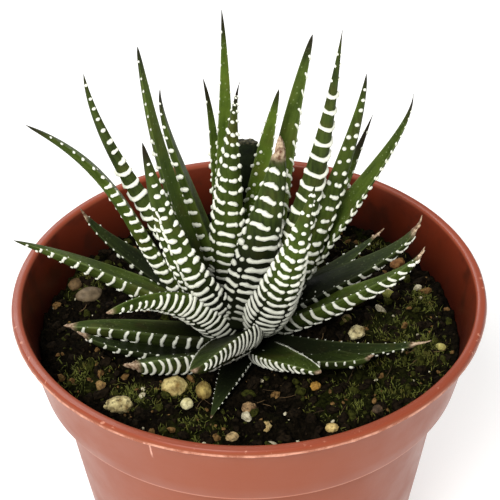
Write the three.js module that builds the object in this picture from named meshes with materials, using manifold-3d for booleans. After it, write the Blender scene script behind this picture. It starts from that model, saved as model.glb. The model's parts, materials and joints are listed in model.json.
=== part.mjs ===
// A zebra haworthia rosette in a round plastic nursery pot.
// Millimetres, +Z up. The origin is the middle of the pot's flat underside.
import * as THREE from 'three';
import { mergeVertices } from 'three/addons/utils/BufferGeometryUtils.js';
import Module from 'manifold-3d';

const wasm = await Module();
wasm.setup();

// Pot
const potHeight = 88;
const rimRadius = 52.5;
const lipWidth = 2.3;
const lipHeight = 1.8;
const collarTopRadius = 50.9;
const collarBottomRadius = 47.2;
const collarHeight = 18.5;
const bodyTopRadius = 44.2;
const baseRadius = 33;
const wall = 1.2;
const floorThickness = 1.6;
const roundOff = 0.5;
const potSegments = 44;
const drainHoles = 8;
const drainHoleSegments = 16;
const drainHoleRadius = 4;
const drainCircleRadius = 23;

// Soil and stem
const seatGap = 0.3;
const soilDepthBelowRim = 12;
const soilLevel = potHeight - soilDepthBelowRim;
const soilMound = 1.2;
const soilRipple = 0.5;
const rippleWaves = { across: 0.21, back: 0.27, slant: 0.13 };
const soilRings = 5;
const soilSegments = 30;
const stemRadius = 3.4;
const stemRise = 9;
const stemDepth = 11;
const stemFootShare = 0.4;
const stemTopShare = 0.45;
const stemTaperDepth = 2;
const stemShoulderShare = 0.4;
const stemSegments = 14;

// Leaves: how wide the blade is from base to tip, as shares of the leaf's width, and the compass
// angles round its section: three points on the inner face, then three round the keel
const bladeTaper = [[0, 0.72], [0.1, 0.92], [0.25, 1], [0.45, 0.8], [0.65, 0.5], [0.85, 0.2], [1, 0]];
const thicknessShare = 0.46;
const dishShare = 0.07;
const tipWidth = 0.12;
const bladeSection = [0, 90, 180, 228, 270, 312];
const bladeSteps = 10;
const arcSteps = 24;
const cutClearance = 0.35;
const sliverWidth = 0.006;
const leafOut = 2.7;

// Each leaf leaves the stem at the compass angle "from" and grows towards "toward", in degrees
// counterclockwise from +X. Its lean is the angle from upright, given at the base and at the tip.
// Its base lies "up" from the soil and "out" from the axis. "turn" is added to the heading by the
// tip, "arch" to the lean halfway along and "hook" to the lean close to the tip. "sway" leans it to
// one side and "bow" adds to that by the tip, "roll" turns it about its own length, and "full" below
// one keeps it broad for longer.
// Columns: name, from, toward, lean at the base, lean at the tip, length, width, up, and the rest
const leafTable = [
  ['centre_left', 185, 276, -4, 12, 67.5, 8.1, 8.1,
    { out: 5.1, sway: 2.5, hook: 36, roll: -22, full: 1.4 }],
  ['centre_dry_tip', 240, 318, 8, 14, 47.5, 11.1, 7,
    { out: 4.5, sway: 6, bow: 8, hook: -25, roll: -24, full: 0.6 }],
  ['centre_sliver', 350, 70, 12, 22, 43, 5, 7, { out: 1.5 }],
  ['centre_pale', 0, 65, 3, 32, 53, 6.6, 6, { out: 1.5, sway: 7, bow: -16, hook: -21, full: 0.65 }],
  ['back_tall', 160, 112, 12, 16, 68, 5.1, 6, { out: 4, sway: -0.5, bow: -14, hook: 42, full: 0.75 }],
  ['back_right', 20, 64, 11, 33, 63.5, 6, 5, { out: 4.5, sway: 3, bow: -7, hook: -2, full: 0.55 }],
  ['back_narrow', 140, 128, 17, 8, 53, 4.2, 6, { out: 3, sway: 2.5, bow: -18, hook: 45, full: 0.65 }],
  ['left_tall', 160, 155, 35, 1, 66.5, 5.8, 5, { bow: -5, hook: 11, full: 0.55 }],
  ['left_inner', 190, 141, 16, 26, 59.5, 7.3, 6, { sway: 1, bow: 12, hook: -42, roll: 38, full: 0.75 }],
  ['right_tall', 350, 355, 21, 3, 76, 7.3, 5, { sway: 1, bow: -3, hook: 3, roll: -62, full: 0.95 }],
  ['right_mid', 10, 18, 26, 13, 64.5, 11.1, 5,
    { out: 4.5, sway: 2, bow: -13, hook: -9, roll: -38, full: 0.75 }],
  ['left_striped', 205, 181, 32, 20, 76.5, 6.1, 4, { sway: -0.5, bow: 12, hook: -18, roll: 58, full: 0.7 }],
  ['front_left', 200, 216, 40, -2, 60, 8.5, 5.4,
    { out: 3.1, sway: 4.5, bow: -10, hook: 10, roll: 35, full: 0.7 }],
  ['front_right', 300, 295, 38, 9, 58.5, 10.2, 3.8,
    { out: 2.8, sway: -2, bow: 8, hook: 5, roll: -24, full: 0.9 }],
  ['right_hidden_tip', 20, 37, 44, 29, 49.5, 7, 5, { out: 5, sway: -0.5, bow: 3, hook: 1, full: 0.95 }],
  ['right_curved', 20, 15, 38, 29, 72, 6.7, 4,
    { out: 4, sway: 4.5, bow: -35, arch: -4, hook: -45, roll: 10, full: 1.05 }],
  ['left_spreading', 170, 158, 58, 76, 79.5, 7.7, 0.8,
    { sway: 9, bow: 25, arch: -52, hook: -27, roll: 40, full: 0.6 }],
  ['left_low', 180, 173, 67, 66, 53, 10.6, 3.5, { sway: -0.5, bow: 2, hook: 14, roll: 22, full: 0.75 }],
  ['left_back', 150, 157, 74, 50, 45.5, 7.7, 3, { sway: -5, bow: 24, hook: -41, full: 0.8 }],
  ['left_curled', 215, 207, 28, 82, 42.5, 9.4, 2.7,
    { out: 6.2, sway: -4.5, bow: 34, hook: -1, roll: 48, full: 0.5 }],
  ['left_dry', 200, 187, 82, 81, 37.5, 10.8, 1.6,
    { out: 4.5, sway: -1.5, bow: -8, hook: 22, roll: 20, full: 0.5 }],
  ['left_under', 220, 206, 91, 67, 36, 6.9, 1.2,
    { out: 5, turn: -24, sway: 0.5, bow: -12, hook: -3, roll: 14, full: 0.5 }],
  ['front_left_dry', 240, 215, 82, 86, 27.5, 12.5, 2,
    { out: 5.6, turn: -16, bow: -7, hook: 10, roll: 32, full: 0.5 }],
  ['front_short', 262, 245, 61, 81, 35.5, 12.5, 5,
    { out: 4.2, sway: 1, bow: 8, hook: -18, roll: 34, full: 0.6 }],
  ['front_fallen', 265, 253, 83, 91, 28.5, 6.3, 0.8, { out: 4, sway: -0.5, bow: 2, hook: 3, full: 0.8 }],
  ['front_centre', 284, 297, 69, 66, 25.5, 8.8, 1.4,
    { out: 6.2, sway: 0.5, bow: 13, hook: 20, roll: -8, full: 0.55 }],
  ['front_right_low', 310, 320, 79, 69, 31, 9.8, 1,
    { out: 5.8, turn: 10, bow: -6, hook: -22, roll: -12, full: 0.65 }],
  ['right_grey', 318, 326, 80, 70, 39, 5.6, 1.2, { out: 6, turn: 24, hook: -4, full: 0.65 }],
  ['right_dry_tip', 340, 354, 62, 59, 47, 10.6, 3.1,
    { out: 2, sway: -0.5, bow: -14, hook: -45, roll: -20, full: 0.8 }],
  ['right_upper', 10, 5, 54, 48, 45, 9, 3.5,
    { sway: 8.5, bow: -15, arch: 18, hook: -45, roll: -6, full: 0.75 }],
  ['right_small', 30, 27, 74, 60, 35, 7, 3],
  ['back_low_left', 120, 118, 70, 60, 38, 8.5, 3],
  ['back_low', 90, 93, 60, 50, 38, 9, 4],
  ['back_low_right', 60, 78, 70, 60, 34, 8.5, 3],
];
const leaves = leafTable.map(([name, from, toward, leanBase, leanTip, length, width, up, rest]) => (
  { name, from, toward, lean: [leanBase, leanTip], length, width, up, ...rest }
));

// The stub of a cut flower stalk or leaf, dark and straight, with a flat top
const stub = { from: 90, toward: 90, lean: [6, 12], length: 39, width: 5, up: 6, out: 3.6 };

// Stones and crumbs lying in the soil: place across and back, length, breadth, turn in degrees
const stoneHeightShare = 0.8;
const stoneRaiseShare = 0.22;
const stoneLump = 0.09;
const lumpWaves = { across: 3.1, back: 2.3, perStone: 1.7 };
const stones = [
  [-37, 13.5, 7, 4, 25],
  [-40.5, 18, 3.4, 3, 40],
  [-16.5, -20, 5.6, 4.9, 10],
  [-10, -21.5, 3.4, 4.6, 0],
  [-13.6, -25.2, 2.8, 2.8, 0],
  [-28, -26, 6, 4, 15],
  [-32.5, -18.5, 2.8, 2.3, 60],
  [-0.5, -27, 3.2, 2.6, 20],
  [-4, -36, 2.8, 2.3, 0],
  [24, -3, 4, 3.4, 30],
  [22, 2.5, 2.8, 2.3, 70],
  [11, -10, 3.2, 2.8, 0],
  [14, -20.5, 2.4, 2.2, 45],
  [32, 11, 2.8, 2.3, 0],
  [35, 23.5, 4, 2.6, 35],
  [3, -33, 2.8, 2.4, 80],
  [17, -33, 2.8, 2.3, 10],
  [42.5, -7, 2.4, 2.2, 0],
  [27, -28, 2.6, 2.2, 50],
];

const degrees = Math.PI / 180;
const up = new THREE.Vector3(0, 0, 1);

function finish(name, color, roughness) {
  return new THREE.MeshStandardMaterial({ name, color, roughness, metalness: 0 });
}

const potPlastic = finish('pot_plastic', 0xaa5f45, 0.45);
const soilFinish = finish('soil', 0x241a10, 0.95);
const leafFinish = finish('leaf', 0x3d5a25, 0.5);
const stemFinish = finish('stem', 0x4a4024, 0.8);
const stoneFinish = finish('stone', 0xb39a66, 0.85);

function solidOf(geometry) {
  const bare = geometry.clone();
  bare.deleteAttribute('normal');
  bare.deleteAttribute('uv');
  const merged = mergeVertices(bare);
  return new wasm.Manifold(new wasm.Mesh({
    numProp: 3,
    vertProperties: merged.attributes.position.array,
    triVerts: new Uint32Array(merged.index.array),
  }));
}

function geometryOf(solid) {
  const made = solid.getMesh();
  const geometry = new THREE.BufferGeometry();
  geometry.setAttribute('position', new THREE.BufferAttribute(made.vertProperties.slice(), 3));
  geometry.setIndex(new THREE.BufferAttribute(made.triVerts.slice(), 1));
  geometry.computeVertexNormals();
  return geometry;
}

function meshOf(name, solid, material) {
  const mesh = new THREE.Mesh(geometryOf(solid), material);
  mesh.name = name;
  return mesh;
}

function largestBody(solid) {
  const bodies = solid.decompose();
  return bodies.reduce((best, body) => (body.volume() > best.volume() ? body : best));
}

// The main body of a trimmed piece, on a grid so fine that only the hair-thin slivers of its cuts close
function cleaned(solid) {
  const geometry = geometryOf(largestBody(solid));
  const position = geometry.attributes.position;
  for (let i = 0; i < position.array.length; i += 1) {
    position.array[i] = sliverWidth * Math.round(position.array[i] / sliverWidth);
  }
  return largestBody(solidOf(geometry));
}

function lathe(profile, segments) {
  const points = profile.map(([radius, height]) => new THREE.Vector2(radius, height));
  return new THREE.LatheGeometry(points, segments).rotateX(Math.PI / 2);
}

// Outer radius of the pot's body and collar at a height, without the lip
function potOuterRadius(height) {
  const collarBottom = potHeight - collarHeight;
  if (height >= collarBottom) {
    const share = (height - collarBottom) / collarHeight;
    return THREE.MathUtils.lerp(collarBottomRadius, collarTopRadius, share);
  }
  return THREE.MathUtils.lerp(baseRadius, bodyTopRadius, height / collarBottom);
}

function makePot() {
  const collarBottom = potHeight - collarHeight;
  const underLip = potHeight - lipHeight;
  const innerStep = collarBottom + wall;
  const profile = [
    [0, 0],
    [baseRadius - roundOff, 0],
    [baseRadius, roundOff],
    [bodyTopRadius, collarBottom],
    [collarBottomRadius - roundOff, collarBottom],
    [collarBottomRadius, collarBottom + roundOff],
    [collarTopRadius, underLip],
    [rimRadius - roundOff, underLip],
    [rimRadius, underLip + roundOff],
    [rimRadius, potHeight - roundOff],
    [rimRadius - roundOff, potHeight],
    [rimRadius - lipWidth + roundOff, potHeight],
    [rimRadius - lipWidth, potHeight - roundOff],
    [potOuterRadius(underLip) - wall, underLip],
    [potOuterRadius(innerStep + wall) - wall, innerStep + wall],
    [bodyTopRadius - wall, innerStep],
    [baseRadius - wall, floorThickness],
    [0, floorThickness],
  ];
  let pot = solidOf(lathe(profile, potSegments));
  for (let i = 0; i < drainHoles; i += 1) {
    const angle = (i + 0.5) * 2 * Math.PI / drainHoles;
    const hole = new THREE.CylinderGeometry(drainHoleRadius, drainHoleRadius, 1, drainHoleSegments);
    hole.scale(1, 4 * floorThickness, 1);
    hole.rotateX(Math.PI / 2);
    hole.translate(drainCircleRadius * Math.cos(angle), drainCircleRadius * Math.sin(angle), 0);
    pot = pot.subtract(solidOf(hole));
  }
  return pot;
}

// Height of the soil's surface: a low mound with shallow ripples
function soilHeight(x, y) {
  const reach = Math.hypot(x, y) / bodyTopRadius;
  const mound = soilMound * Math.max(0, 1 - reach * reach);
  const { across, back, slant } = rippleWaves;
  const ripple = soilRipple * (Math.sin(across * x + 1) + Math.sin(back * y + slant * x)) / 2;
  return soilLevel + mound + ripple;
}

function makeSoil(grow = 0) {
  const edge = potOuterRadius(soilLevel) - wall - seatGap;
  const innerStep = potHeight - collarHeight + 2 * wall;
  const ring = [];
  for (let i = 0; i <= soilRings; i += 1) {
    ring.push([edge * (1 - i / soilRings), soilLevel]);
  }
  const profile = [
    [0, floorThickness + seatGap],
    [baseRadius - wall - seatGap, floorThickness + seatGap],
    [bodyTopRadius - wall - 2 * seatGap, potHeight - collarHeight],
    [bodyTopRadius - wall - 2 * seatGap, innerStep + seatGap],
    [potOuterRadius(innerStep) - wall - seatGap - roundOff, innerStep + seatGap],
    ...ring,
  ];
  const geometry = lathe(profile, soilSegments);
  const position = geometry.attributes.position;
  for (let i = 0; i < position.count; i += 1) {
    if (Math.abs(position.getZ(i) - soilLevel) < seatGap) {
      position.setZ(i, soilHeight(position.getX(i), position.getY(i)) + grow);
    }
  }
  return solidOf(geometry);
}

function makeStem(grow = 0) {
  const bottom = soilLevel - stemDepth - grow;
  const top = soilLevel + stemRise + grow;
  const profile = [
    [0, bottom],
    [stemFootShare * stemRadius + grow, bottom],
    [stemRadius + grow, soilLevel - stemTaperDepth],
    [stemRadius + grow, soilLevel + stemShoulderShare * stemRise],
    [stemTopShare * stemRadius + grow, top],
    [0, top],
  ];
  return solidOf(lathe(profile, stemSegments));
}

function shareAlong(table, s) {
  for (let i = 1; i < table.length; i += 1) {
    const [s0, w0] = table[i - 1];
    const [s1, w1] = table[i];
    if (s <= s1) {
      return w0 + (w1 - w0) * (s - s0) / (s1 - s0);
    }
  }
  return table[table.length - 1][1];
}

// The leaf's middle line as points with a forward, a sideways and an inward direction at each
function leafFrames(leaf) {
  const fromAngle = leaf.from * degrees;
  const point = new THREE.Vector3(Math.cos(fromAngle), Math.sin(fromAngle), 0);
  point.multiplyScalar(leaf.out ?? leafOut);
  point.z = soilLevel + leaf.up;
  const frames = [];
  for (let i = 0; i <= arcSteps; i += 1) {
    const s = i / arcSteps;
    const heading = (leaf.toward + (leaf.turn ?? 0) * s) * degrees;
    const evenLean = leaf.lean[0] + (leaf.lean[1] - leaf.lean[0]) * s;
    const extraLean = (leaf.hook ?? 0) * s ** 4 + (leaf.arch ?? 0) * 4 * s * (1 - s);
    const lean = (evenLean + extraLean) * degrees;
    const outward = new THREE.Vector3(Math.cos(heading), Math.sin(heading), 0);
    const forward = outward.clone().multiplyScalar(Math.sin(lean)).addScaledVector(up, Math.cos(lean));
    const inward = outward.clone().multiplyScalar(-Math.cos(lean)).addScaledVector(up, Math.sin(lean));
    const sideways = new THREE.Vector3().crossVectors(inward, forward);
    const sway = ((leaf.sway ?? 0) + (leaf.bow ?? 0) * s) * degrees;
    forward.applyAxisAngle(inward, sway);
    sideways.applyAxisAngle(inward, sway);
    const roll = (leaf.roll ?? 0) * degrees;
    inward.applyAxisAngle(forward, roll);
    sideways.applyAxisAngle(forward, roll);
    frames.push({ point: point.clone(), forward, inward, sideways });
    point.addScaledVector(forward, leaf.length / arcSteps);
  }
  return frames;
}

// The direction of a section's side, as a compass angle: CylinderGeometry counts its sides from +Z
function sectionAngle(x, z) {
  const sides = bladeSection.length;
  const side = Math.round(sides * (1 + Math.atan2(x, z) / (2 * Math.PI)));
  return bladeSection[side % sides] * degrees;
}

// A tube bent along the leaf's middle line: dished on its inner face, keeled on its outer face.
// "grow" moves its whole surface outwards.
function makeLeaf(leaf, grow = 0, taper = bladeTaper) {
  const frames = leafFrames(leaf);
  const geometry = new THREE.CylinderGeometry(1, 1, 1, bladeSection.length, bladeSteps);
  const position = geometry.attributes.position;
  const placed = new THREE.Vector3();
  for (let i = 0; i < position.count; i += 1) {
    const s = position.getY(i) + 0.5;
    const end = Math.trunc(2 * s - 1);
    const step = Math.min(arcSteps - 1, Math.floor(s * arcSteps));
    const { forward, inward, sideways } = frames[step];
    placed.copy(frames[step].point).lerp(frames[step + 1].point, s * arcSteps - step);
    placed.addScaledVector(forward, grow * end);
    const breadth = Math.max(tipWidth, leaf.width * shareAlong(taper, s) ** (leaf.full ?? 1));
    const capCentre = position.getX(i) === 0 && position.getZ(i) === 0;
    if (capCentre) {
      placed.addScaledVector(inward, -0.5 * thicknessShare * breadth);
    } else {
      const angle = sectionAngle(position.getX(i), position.getZ(i));
      const rise = Math.sin(angle);
      const innerDepth = grow - dishShare * breadth * rise;
      const outerDepth = (thicknessShare * breadth + grow) * rise;
      placed.addScaledVector(sideways, (0.5 * breadth + grow) * Math.cos(angle));
      placed.addScaledVector(inward, rise > -1e-9 ? innerDepth : outerDepth);
    }
    position.setXYZ(i, placed.x, placed.y, placed.z);
  }
  return solidOf(geometry);
}

// A lumpy stone, half sunk in the soil
function makeStone([x, y, long, broad, turn], index, grow = 0) {
  const geometry = new THREE.DodecahedronGeometry(1);
  const position = geometry.attributes.position;
  const tall = stoneHeightShare * broad;
  for (let i = 0; i < position.count; i += 1) {
    const { across, back, perStone } = lumpWaves;
    const wave = Math.sin(across * position.getX(i) + back * position.getY(i) + perStone * index);
    const lump = 1 + stoneLump * wave;
    position.setXYZ(
      i,
      position.getX(i) * (0.5 * long * lump + grow),
      position.getY(i) * (0.5 * broad * lump + grow),
      position.getZ(i) * (0.5 * tall * lump + grow),
    );
  }
  geometry.rotateZ(turn * degrees);
  geometry.translate(x, y, soilHeight(x, y) + stoneRaiseShare * tall);
  return solidOf(geometry);
}

const plant = new THREE.Group();
plant.add(meshOf('pot', makePot(), potPlastic));

const stoneSolids = stones.map((stone, index) => makeStone(stone, index));
let soil = makeSoil().subtract(makeStem(seatGap));
stones.forEach((stone, index) => {
  soil = soil.subtract(makeStone(stone, index, seatGap));
});
plant.add(meshOf('soil', cleaned(soil), soilFinish));
plant.add(meshOf('stem', makeStem(), stemFinish));

// Each leaf is trimmed round the stem, the soil, the stones and the leaves inside it
const stubTaper = [[0, 1], [1, 1]];
const stubSolids = { solid: makeLeaf(stub, 0, stubTaper), grown: makeLeaf(stub, cutClearance, stubTaper) };
const growths = [{ name: 'cut_stub', ...stubSolids }];
for (const leaf of leaves) {
  growths.push({ name: `leaf_${leaf.name}`, solid: makeLeaf(leaf), grown: makeLeaf(leaf, cutClearance) });
}
const stemRoom = makeStem(seatGap);
const soilRoom = makeSoil(seatGap);
const stoneRoom = stones.map((stone, index) => makeStone(stone, index, seatGap));
growths.forEach((growth, index) => {
  let trimmed = growth.solid.subtract(stemRoom).subtract(soilRoom);
  for (let inner = 0; inner < index; inner += 1) {
    trimmed = trimmed.subtract(growths[inner].grown);
  }
  for (const room of stoneRoom) {
    trimmed = trimmed.subtract(room);
  }
  plant.add(meshOf(growth.name, cleaned(trimmed), leafFinish));
});

stoneSolids.forEach((solid, index) => {
  const number = String(index + 1).padStart(2, '0');
  plant.add(meshOf(`stone_${number}`, solid, stoneFinish));
});

export default plant;
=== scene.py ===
import json
import math
import random

import bpy
import numpy as np
from mathutils import Matrix, Vector, noise


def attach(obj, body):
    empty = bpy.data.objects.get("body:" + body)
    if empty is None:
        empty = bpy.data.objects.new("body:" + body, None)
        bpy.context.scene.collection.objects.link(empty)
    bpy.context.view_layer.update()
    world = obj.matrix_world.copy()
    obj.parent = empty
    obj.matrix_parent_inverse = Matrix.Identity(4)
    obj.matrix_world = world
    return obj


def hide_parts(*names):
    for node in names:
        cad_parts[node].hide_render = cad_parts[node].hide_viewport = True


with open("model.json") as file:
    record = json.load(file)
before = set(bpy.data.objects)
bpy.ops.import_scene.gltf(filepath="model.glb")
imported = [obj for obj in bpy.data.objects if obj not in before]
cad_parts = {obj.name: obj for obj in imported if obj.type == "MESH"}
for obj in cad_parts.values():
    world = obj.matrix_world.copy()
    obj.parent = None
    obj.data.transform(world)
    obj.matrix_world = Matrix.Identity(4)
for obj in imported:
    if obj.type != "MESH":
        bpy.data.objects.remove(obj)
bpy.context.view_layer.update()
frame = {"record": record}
mm = 0.001
fullTurn = 2 * math.pi
slotOf = {part["node"]: part["material_slot"] for part in frame["record"]["subparts"]}


# Small helpers that every piece uses

def pickOnly(obj):
    bpy.ops.object.select_all(action="DESELECT")
    obj.select_set(True)
    bpy.context.view_layer.objects.active = obj


def editAll():
    bpy.ops.object.mode_set(mode="EDIT")
    bpy.ops.mesh.select_all(action="SELECT")


def editDone(outward=False):
    if outward:
        bpy.ops.mesh.select_all(action="SELECT")
        bpy.ops.mesh.normals_make_consistent(inside=False)
    bpy.ops.object.mode_set(mode="OBJECT")


def faceOut(obj):
    pickOnly(obj)
    editAll()
    editDone(outward=True)


def drawUp(rise):
    bpy.ops.mesh.extrude_region_move(TRANSFORM_OT_translate={"value": (0, 0, rise)})


def shaft(sides, rings):
    # a straight shaft of unit length along Z, drawn up ring by ring from a disc and left in edit mode
    bpy.ops.mesh.primitive_circle_add(vertices=sides, radius=1, fill_type="NGON")
    editAll()
    for i in range(rings):
        drawUp(1 / rings)
    return bpy.context.object


def bakeMove():
    bpy.ops.object.transform_apply(location=True, rotation=True, scale=True)


def coords(mesh):
    flat = np.empty(len(mesh.vertices) * 3)
    mesh.vertices.foreach_get("co", flat)
    return flat.reshape(-1, 3)


def setCoords(mesh, places):
    mesh.vertices.foreach_set("co", np.ascontiguousarray(places, dtype=np.float64).ravel())
    mesh.update()


def faceList(mesh):
    return [tuple(face.vertices) for face in mesh.polygons]


def newPiece(name, places, faces):
    mesh = bpy.data.meshes.new(name)
    mesh.from_pydata([tuple(p) for p in places], [], faces)
    mesh.update()
    piece = bpy.data.objects.new(name, mesh)
    bpy.context.scene.collection.objects.link(piece)
    return piece


def repeated(faces, copies, stride):
    return [tuple(v + k * stride for v in face) for k in range(copies) for face in faces]


def setPoints(mesh, name, values, kind="FLOAT", field="value"):
    layer = mesh.attributes.get(name) or mesh.attributes.new(name, kind, "POINT")
    layer.data.foreach_set(field, np.ascontiguousarray(values, dtype=np.float32).ravel())


def smooth(obj):
    obj.data.polygons.foreach_set("use_smooth", [True] * len(obj.data.polygons))
    obj.data.update()


def joined(pieces):
    pickOnly(pieces[0])
    for piece in pieces[1:]:
        piece.select_set(True)
    bpy.ops.object.join()
    return pieces[0]


def finishPiece(piece, material, slot, *nodes):
    if material:
        piece.data.materials.clear()
        piece.data.materials.append(material)
    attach(piece, "root")
    if nodes:
        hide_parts(*nodes)


def ease(low, high, x):
    t = np.clip((x - low) / (high - low), 0, 1)
    return t * t * (3 - 2 * t)


def hills(x, y, z, size, seed=0.0):
    return noise.noise(Vector((x / size + seed, y / size - seed, z / size + 0.7 * seed)))


def turned(x, y, angle):
    return x * math.cos(angle) - y * math.sin(angle), x * math.sin(angle) + y * math.cos(angle)


def anyTurn(luck):
    axis = Vector((luck.gauss(0, 1), luck.gauss(0, 1), luck.gauss(0, 1))).normalized()
    return np.array(Matrix.Rotation(luck.uniform(0, fullTurn), 3, axis))


def paint(code):
    # a hex code, as the colour shows on a screen
    shares = [int(code[i:i + 2], 16) / 255 for i in (0, 2, 4)]
    return [c / 12.92 if c <= 0.04045 else ((c + 0.055) / 1.055) ** 2.4 for c in shares]


# One node material, built link by link

class Look:
    def __init__(self, name, roughness=0.5, specular=0.5):
        self.material = bpy.data.materials.new(name)
        self.material.use_nodes = True
        self.nodes = self.material.node_tree.nodes
        self.links = self.material.node_tree.links
        self.shader = self.nodes["Principled BSDF"]
        self.shader.inputs["Roughness"].default_value = roughness
        self.shader.inputs["Specular IOR Level"].default_value = specular
        self.place = self.nodes.new("ShaderNodeTexCoord").outputs["Object"]

    def feed(self, part, socket):
        if isinstance(part, bpy.types.NodeSocket):
            self.links.new(part, socket)
        elif isinstance(part, str):
            socket.default_value = (*paint(part), 1)
        else:
            socket.default_value = part

    # a new node with its inputs filled in, and the output that is wanted from it
    def add(self, kind, output, inputs, **settings):
        node = self.nodes.new("ShaderNode" + kind)
        for name, choice in settings.items():
            setattr(node, name, choice)
        for name, part in inputs.items():
            self.feed(part, node.inputs[name])
        return node.outputs[output]

    def value(self, name, output="Fac"):
        return self.add("Attribute", output, {}, attribute_name=name)

    def axes(self):
        split = self.add("SeparateXYZ", "X", {"Vector": self.place}).node
        return split.outputs["X"], split.outputs["Y"], split.outputs["Z"]

    def grain(self, scale, detail=3.0, rough=0.55, stretch=None, source=None):
        source = source or self.place
        if stretch:
            source = self.add("Mapping", "Vector", {"Vector": source, "Scale": stretch})
        return self.add("TexNoise", "Fac", {"Vector": source, "Scale": scale, "Detail": detail,
                                            "Roughness": rough})

    def cells(self, scale, source=None):
        return self.add("TexVoronoi", "Distance", {"Vector": source or self.place, "Scale": scale})

    def span(self, value, low, high, newLow=0.0, newHigh=1.0):
        return self.add("MapRange", "Result", {"Value": value, "From Min": low, "From Max": high,
                                               "To Min": newLow, "To Max": newHigh})

    # cloudy patches: noise of one scale and detail, spread between two of its values
    def patches(self, scale, detail, *reach):
        return self.span(self.grain(scale, detail), *reach)

    def math(self, kind, *parts):
        total = parts[0]
        for part in parts[1:] or (0,):
            total = self.add("Math", "Value", {0: total, 1: part}, operation=kind)
        return total

    def plus(self, *parts):
        return self.math("ADD", *parts)

    def times(self, *parts):
        return self.math("MULTIPLY", *parts)

    def mix(self, share, a, b):
        return self.add("Mix", 2, {0: share, 6: a, 7: b}, data_type="RGBA")

    # lays a colour over those before it, as thick as its shares multiplied
    def coat(self, color, *shares):
        if shares:
            share = self.times(*shares) if len(shares) > 1 else shares[0]
            color = self.mix(share, self.color, color)
        self.color = color
        self.feed(color, self.shader.inputs["Base Color"])

    def rough(self, source):
        self.feed(source, self.shader.inputs["Roughness"])

    def bump(self, height, strength, distance):
        normal = self.add("Bump", "Normal", {"Strength": strength, "Distance": distance, "Height": height})
        self.feed(normal, self.shader.inputs["Normal"])


# The pot

potShape = {
    "segments": 200,
    "profile": [  # radius and height of each ring, from the foot round the lip to the inner floor
        (32.5, 0), (32.85, 0.12), (33, 0.5), (35.2, 14), (37.4, 28), (39.7, 42), (41.9, 56), (43.6, 66),
        (44.1, 69), (44.3, 69.4), (44.7, 69.5), (46.6, 69.5), (47.0, 69.6), (47.2, 69.95), (48.0, 73.5),
        (48.9, 78), (49.8, 82), (50.6, 85.4), (50.8, 86.0), (51.2, 86.2), (52.0, 86.2), (52.3, 86.3),
        (52.5, 86.55), (52.45, 87.0), (52.3, 87.6), (52.0, 87.9), (51.3, 88.0), (50.6, 87.95),
        (50.3, 87.75), (50.15, 87.4), (49.6, 86.0), (48.6, 81), (47.6, 76.5), (46.7, 72.4), (46.2, 71.4),
        (45.2, 70.8), (43.2, 70.5), (42.9, 69.8), (38.6, 42), (35, 21), (31.9, 2.2), (31.4, 1.7), (30.5, 1.6),
    ],
    "drainHoles": 8,
    "drainRadius": 4,
    "drainCircle": 23,
    "drillDepth": 8,
    "creaseAngle": 35,
    "lip": {"above": 85, "beyond": 49},
    "flash": {"above": 86.2, "below": 87.1, "beyond": 52},
    "scuffAt": 245.8,
}


def modelPot():
    shape = potShape
    (radius, height), *rest = shape["profile"]
    bpy.ops.mesh.primitive_circle_add(vertices=shape["segments"], radius=radius * mm,
                                      location=(0, 0, height * mm))
    pot = bpy.context.object
    bakeMove()
    editAll()
    for newRadius, newHeight in rest:
        drawUp((newHeight - height) * mm)
        scale = newRadius / radius
        bpy.ops.transform.resize(value=(scale, scale, 1), center_override=(0, 0, newHeight * mm))
        radius, height = newRadius, newHeight
    bpy.ops.mesh.fill()
    bpy.ops.mesh.select_all(action="SELECT")
    bpy.ops.mesh.fill_holes(sides=0)
    editDone(outward=True)
    for i in range(shape["drainHoles"]):
        x, y = turned(shape["drainCircle"] * mm, 0, (i + 0.5) * fullTurn / shape["drainHoles"])
        bpy.ops.mesh.primitive_cylinder_add(vertices=32, radius=shape["drainRadius"] * mm,
                                            depth=shape["drillDepth"] * mm, location=(x, y, 0))
        drill = bpy.context.object
        pickOnly(pot)
        cut = pot.modifiers.new("drain", "BOOLEAN")
        cut.object = drill
        cut.operation = "DIFFERENCE"
        cut.solver = "EXACT"
        bpy.ops.object.modifier_apply(modifier=cut.name)
        bpy.data.objects.remove(drill)
    pot.name = "nursery_pot"
    roughenLip(pot)
    pickOnly(pot)
    bpy.ops.object.shade_smooth_by_angle(angle=math.radians(shape["creaseAngle"]))
    return pot


def roughenLip(pot):
    # the moulded lip is never quite true, and its flash is ragged
    lip, seam = potShape["lip"], potShape["flash"]
    places = coords(pot.data) / mm
    out, up = np.hypot(places[:, 0], places[:, 1]), places[:, 2]
    flash = (up > seam["above"]) & (up < seam["below"]) & (out > seam["beyond"])
    for i in np.flatnonzero((up > lip["above"]) & (out > lip["beyond"])):
        x, y, z = places[i]
        push = 0.05 * hills(x, y, z, 6) + 0.06 * hills(x, y, z, 1.6, 4) * flash[i]
        places[i] += np.array((x, y, 0)) / out[i] * push
        places[i][2] += 0.05 * hills(x, y, z, 9, 8) - 0.25 * max(0, hills(x, y, z, 2.4, 2)) * flash[i]
    setCoords(pot.data, places * mm)


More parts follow.
